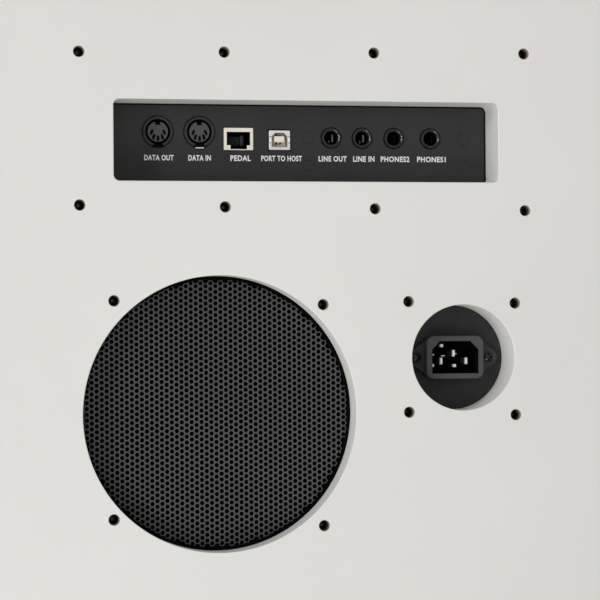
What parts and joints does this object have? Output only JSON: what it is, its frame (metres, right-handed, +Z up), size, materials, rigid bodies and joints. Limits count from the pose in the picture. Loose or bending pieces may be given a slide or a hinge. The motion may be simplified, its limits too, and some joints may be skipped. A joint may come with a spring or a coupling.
{
  "type": "console digital piano",
  "caption": "Console digital piano with a full keyboard, sliding fallboard, folding music rest and pedals on a panel stand; speakers and a socket recess in its back board.",
  "frame": {"origin": "on the floor, in the middle of the outline", "axes": "+X towards the player's right, +Y towards the back board, +Z up; the player sits at -Y"},
  "size_m": [1.39, 0.46, 1.1352],
  "materials": {
    "cabinet_white": "satin off-white paint on fibreboard",
    "chassis_grey": "moulded",
    "moulded_black": "moulded, lightly textured",
    "black_steel": "black powder coat",
    "socket_beige": "moulded",
    "socket_steel": "tinned sheet",
    "circuit_board": "lacquered",
    "key_ivory": "gloss",
    "key_ebony": "satin",
    "pedal_brass": "polished",
    "bare_fibreboard": "raw, drilled",
    "black_cloth": "acoustic cloth",
    "mark_white": "printed",
    "red_felt": "felt"
  },
  "bodies": {
    "root": {"case_side_left": "cabinet_white", "case_side_right": "cabinet_white", "case_bottom": "cabinet_white", "back_board_upper": "cabinet_white", "back_board_left": "cabinet_white", "back_board_right": "cabinet_white", "case_top": "cabinet_white", "upper_panel": "cabinet_white", "control_panel": "cabinet_white", "key_slip": "cabinet_white", "cheek_left": "cabinet_white", "cheek_right": "cabinet_white", "stand_side_left": "cabinet_white", "stand_side_right": "cabinet_white", "stand_foot_left": "cabinet_white", "stand_foot_right": "cabinet_white", "stand_back_panel": "cabinet_white", "pedal_box": "cabinet_white", "key_frame": "chassis_grey", "jack_tray": "moulded_black", "din_socket_out": "moulded_black", "din_socket_in": "moulded_black", "line_out_jack": "moulded_black", "line_in_jack": "moulded_black", "phones_jack_2": "moulded_black", "phones_jack_1": "moulded_black", "mains_inlet": "moulded_black", "pedal_socket": "socket_beige", "host_socket": "socket_steel", "jack_board": "circuit_board", "main_board": "circuit_board", "inlet_plate": "black_steel", "grille_left": "black_steel", "grille_right": "black_steel", "woofer_left": "black_steel", "woofer_right": "black_steel"},
    "bass_keys": {"bass_keys": "key_ivory"},
    "treble_keys": {"treble_keys": "key_ivory"},
    "key_c4": {"key_c4": "key_ivory"},
    "key_d4": {"key_d4": "key_ivory"},
    "key_e4": {"key_e4": "key_ivory"},
    "key_f4": {"key_f4": "key_ivory"},
    "key_g4": {"key_g4": "key_ivory"},
    "key_a4": {"key_a4": "key_ivory"},
    "key_b4": {"key_b4": "key_ivory"},
    "key_c4_sharp": {"key_c4_sharp": "key_ebony"},
    "key_d4_sharp": {"key_d4_sharp": "key_ebony"},
    "key_f4_sharp": {"key_f4_sharp": "key_ebony"},
    "key_g4_sharp": {"key_g4_sharp": "key_ebony"},
    "key_a4_sharp": {"key_a4_sharp": "key_ebony"},
    "fallboard": {"fallboard": "cabinet_white"},
    "music_rest": {"music_rest": "cabinet_white"},
    "pedal_left": {"pedal_left": "pedal_brass"},
    "pedal_middle": {"pedal_middle": "pedal_brass"},
    "pedal_right": {"pedal_right": "pedal_brass"},
    "power_button": {"power_button": "moulded_black"},
    "volume_knob": {"volume_knob": "moulded_black"},
    "function_button_1": {"function_button_1": "moulded_black"},
    "function_button_2": {"function_button_2": "moulded_black"},
    "pedal_box_adjuster": {"pedal_box_adjuster": "moulded_black"}
  },
  "joints": [
    {"name": "key_c4_press", "type": "hinge", "parent": "root", "child": "key_c4", "pos_m": [0, 0.015, 0.712], "axis": [1, 0, 0], "range_deg": [0, 2.6], "stiffness_Nm_per_rad": 2, "springref_deg": -8.02},
    {"name": "key_d4_press", "type": "hinge", "parent": "root", "child": "key_d4", "pos_m": [0, 0.015, 0.712], "axis": [1, 0, 0], "range_deg": [0, 2.6], "stiffness_Nm_per_rad": 2, "springref_deg": -8.02},
    {"name": "key_e4_press", "type": "hinge", "parent": "root", "child": "key_e4", "pos_m": [0, 0.015, 0.712], "axis": [1, 0, 0], "range_deg": [0, 2.6], "stiffness_Nm_per_rad": 2, "springref_deg": -8.02},
    {"name": "key_f4_press", "type": "hinge", "parent": "root", "child": "key_f4", "pos_m": [0, 0.015, 0.712], "axis": [1, 0, 0], "range_deg": [0, 2.6], "stiffness_Nm_per_rad": 2, "springref_deg": -8.02},
    {"name": "key_g4_press", "type": "hinge", "parent": "root", "child": "key_g4", "pos_m": [0, 0.015, 0.712], "axis": [1, 0, 0], "range_deg": [0, 2.6], "stiffness_Nm_per_rad": 2, "springref_deg": -8.02},
    {"name": "key_a4_press", "type": "hinge", "parent": "root", "child": "key_a4", "pos_m": [0, 0.015, 0.712], "axis": [1, 0, 0], "range_deg": [0, 2.6], "stiffness_Nm_per_rad": 2, "springref_deg": -8.02},
    {"name": "key_b4_press", "type": "hinge", "parent": "root", "child": "key_b4", "pos_m": [0, 0.015, 0.712], "axis": [1, 0, 0], "range_deg": [0, 2.6], "stiffness_Nm_per_rad": 2, "springref_deg": -8.02},
    {"name": "key_c4_sharp_press", "type": "hinge", "parent": "root", "child": "key_c4_sharp", "pos_m": [0, 0.015, 0.712], "axis": [1, 0, 0], "range_deg": [0, 2.6], "stiffness_Nm_per_rad": 1.5, "springref_deg": -8.02},
    {"name": "key_d4_sharp_press", "type": "hinge", "parent": "root", "child": "key_d4_sharp", "pos_m": [0, 0.015, 0.712], "axis": [1, 0, 0], "range_deg": [0, 2.6], "stiffness_Nm_per_rad": 1.5, "springref_deg": -8.02},
    {"name": "key_f4_sharp_press", "type": "hinge", "parent": "root", "child": "key_f4_sharp", "pos_m": [0, 0.015, 0.712], "axis": [1, 0, 0], "range_deg": [0, 2.6], "stiffness_Nm_per_rad": 1.5, "springref_deg": -8.02},
    {"name": "key_g4_sharp_press", "type": "hinge", "parent": "root", "child": "key_g4_sharp", "pos_m": [0, 0.015, 0.712], "axis": [1, 0, 0], "range_deg": [0, 2.6], "stiffness_Nm_per_rad": 1.5, "springref_deg": -8.02},
    {"name": "key_a4_sharp_press", "type": "hinge", "parent": "root", "child": "key_a4_sharp", "pos_m": [0, 0.015, 0.712], "axis": [1, 0, 0], "range_deg": [0, 2.6], "stiffness_Nm_per_rad": 1.5, "springref_deg": -8.02},
    {"name": "bass_keys_press", "type": "hinge", "parent": "root", "child": "bass_keys", "pos_m": [0, 0.015, 0.712], "axis": [1, 0, 0], "range_deg": [0, 2.6], "stiffness_Nm_per_rad": 60, "springref_deg": -8.02},
    {"name": "treble_keys_press", "type": "hinge", "parent": "root", "child": "treble_keys", "pos_m": [0, 0.015, 0.712], "axis": [1, 0, 0], "range_deg": [0, 2.6], "stiffness_Nm_per_rad": 58, "springref_deg": -8.02},
    {"name": "fallboard_slide", "type": "slide", "parent": "root", "child": "fallboard", "axis": [0, -1, 0], "range_m": [0, 0.155]},
    {"name": "music_rest_fold", "type": "hinge", "parent": "root", "child": "music_rest", "pos_m": [0, 0.035, 0.957], "axis": [1, 0, 0], "range_deg": [-70, 0]},
    {"name": "pedal_left_press", "type": "hinge", "parent": "root", "child": "pedal_left", "pos_m": [-0.07, 0.125, 0.0835], "axis": [1, 0, 0], "range_deg": [0, 6], "stiffness_Nm_per_rad": 12, "springref_deg": -5.73},
    {"name": "pedal_middle_press", "type": "hinge", "parent": "root", "child": "pedal_middle", "pos_m": [0, 0.125, 0.0835], "axis": [1, 0, 0], "range_deg": [0, 6], "stiffness_Nm_per_rad": 12, "springref_deg": -5.73},
    {"name": "pedal_right_press", "type": "hinge", "parent": "root", "child": "pedal_right", "pos_m": [0.07, 0.125, 0.0835], "axis": [1, 0, 0], "range_deg": [0, 6], "stiffness_Nm_per_rad": 12, "springref_deg": -5.73},
    {"name": "power_button_press", "type": "slide", "parent": "root", "child": "power_button", "axis": [0, 0, -1], "range_m": [0, 0.0012], "stiffness_N_per_m": 800, "springref_m": -0.001},
    {"name": "function_button_1_press", "type": "slide", "parent": "root", "child": "function_button_1", "axis": [0, 0, -1], "range_m": [0, 0.0012], "stiffness_N_per_m": 800, "springref_m": -0.001},
    {"name": "function_button_2_press", "type": "slide", "parent": "root", "child": "function_button_2", "axis": [0, 0, -1], "range_m": [0, 0.0012], "stiffness_N_per_m": 800, "springref_m": -0.001},
    {"name": "volume_turn", "type": "hinge", "parent": "root", "child": "volume_knob", "pos_m": [0.59, -0.026, 0.79], "axis": [0, 0, -1], "range_deg": [-140, 140]},
    {"name": "adjuster_turn", "type": "hinge", "parent": "root", "child": "pedal_box_adjuster", "pos_m": [0, 0.11, 0.02], "axis": [0, 0, 1], "range_deg": [-180, 180]}
  ]
}
